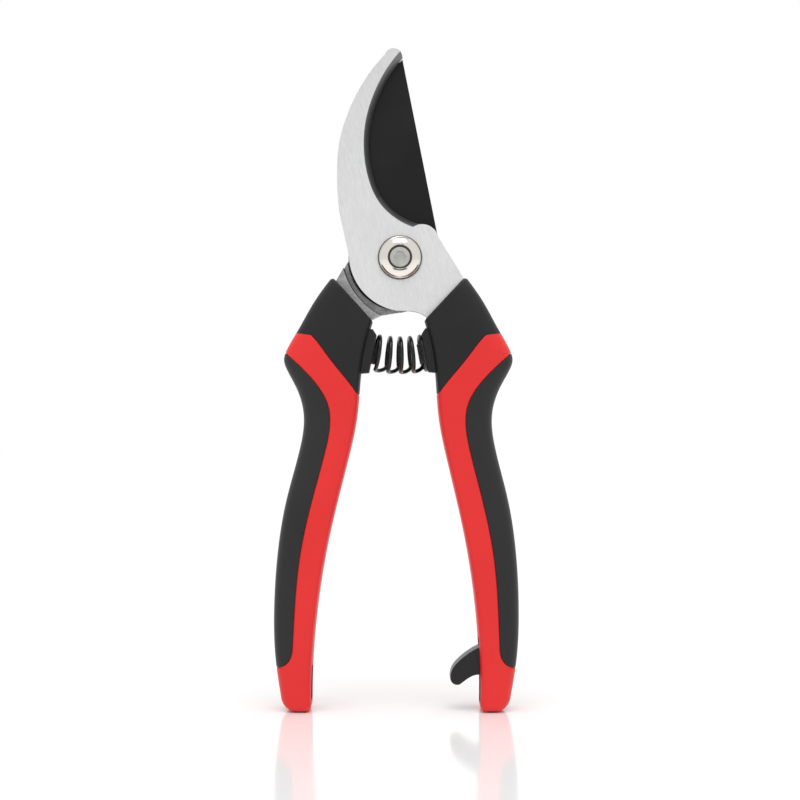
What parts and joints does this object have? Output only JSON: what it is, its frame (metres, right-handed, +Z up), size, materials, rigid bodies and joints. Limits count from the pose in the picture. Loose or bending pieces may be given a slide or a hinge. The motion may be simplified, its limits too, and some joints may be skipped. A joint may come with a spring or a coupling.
{
  "type": "pruning shears",
  "caption": "Bypass pruning shears with a steel hook, coated cutting blade, curved soft-grip handles, coil return spring and a swinging catch.",
  "frame": {"origin": "on the floor, in the middle of the shears' width and depth, as they stand upright on the ends of their handles", "axes": "+Z up from the handle ends to the tip of the hook, +X to the right seen from the hook side, +Y towards the bolt head side"},
  "size_m": [0.0779, 0.0176, 0.2101],
  "materials": {
    "ground_steel": "brushed lengthwise, ground bevel",
    "coated_steel": "black non-stick coating, satin",
    "forged_steel": "blasted forging, mottled grey",
    "nickel": "polished nickel",
    "zinc_steel": "zinc plated",
    "bronze": "sintered bronze",
    "red_nylon": "satin moulded nylon",
    "black_plastic": "fine spark-eroded grain",
    "black_rubber": "soft over-moulded grip, matt",
    "pin_steel": "turned",
    "black_steel": "blackened folded sheet",
    "black_wire": "glossy black spring wire"
  },
  "bodies": {
    "hook_side": {"hook_blade": "ground_steel", "pivot_cap_nut": "nickel", "pivot_bolt": "zinc_steel", "pivot_washer": "zinc_steel", "right_core": "red_nylon", "right_collar": "black_plastic", "right_spring_seat": "black_plastic", "right_grip": "black_rubber", "right_tang_pin_upper": "pin_steel", "right_tang_pin_lower": "pin_steel", "catch_pin": "pin_steel", "catch_washer": "pin_steel", "coil_spring": "black_wire"},
    "blade_side": {"cutting_blade": "coated_steel", "blade_carrier": "forged_steel", "pivot_bush": "bronze", "blade_screw_upper": "zinc_steel", "blade_screw_lower": "zinc_steel", "left_core": "red_nylon", "left_collar": "black_plastic", "left_spring_seat": "black_plastic", "left_grip": "black_rubber", "left_tang_pin_upper": "pin_steel", "left_tang_pin_lower": "pin_steel", "keeper_pin": "pin_steel"},
    "catch": {"catch_lever": "black_steel"}
  },
  "joints": [
    {"name": "pivot", "type": "hinge", "parent": "hook_side", "child": "blade_side", "pos_m": [0.0011, -0.00175, 0.1438], "axis": [0, 1, 0], "range_deg": [-6, 22], "stiffness_Nm_per_rad": 4, "deforming": ["coil_spring"]},
    {"name": "catch_swing", "type": "hinge", "parent": "hook_side", "child": "catch", "pos_m": [0.0299, -0.00025, 0.0156], "axis": [0, -1, 0], "range_deg": [0, 40]}
  ]
}
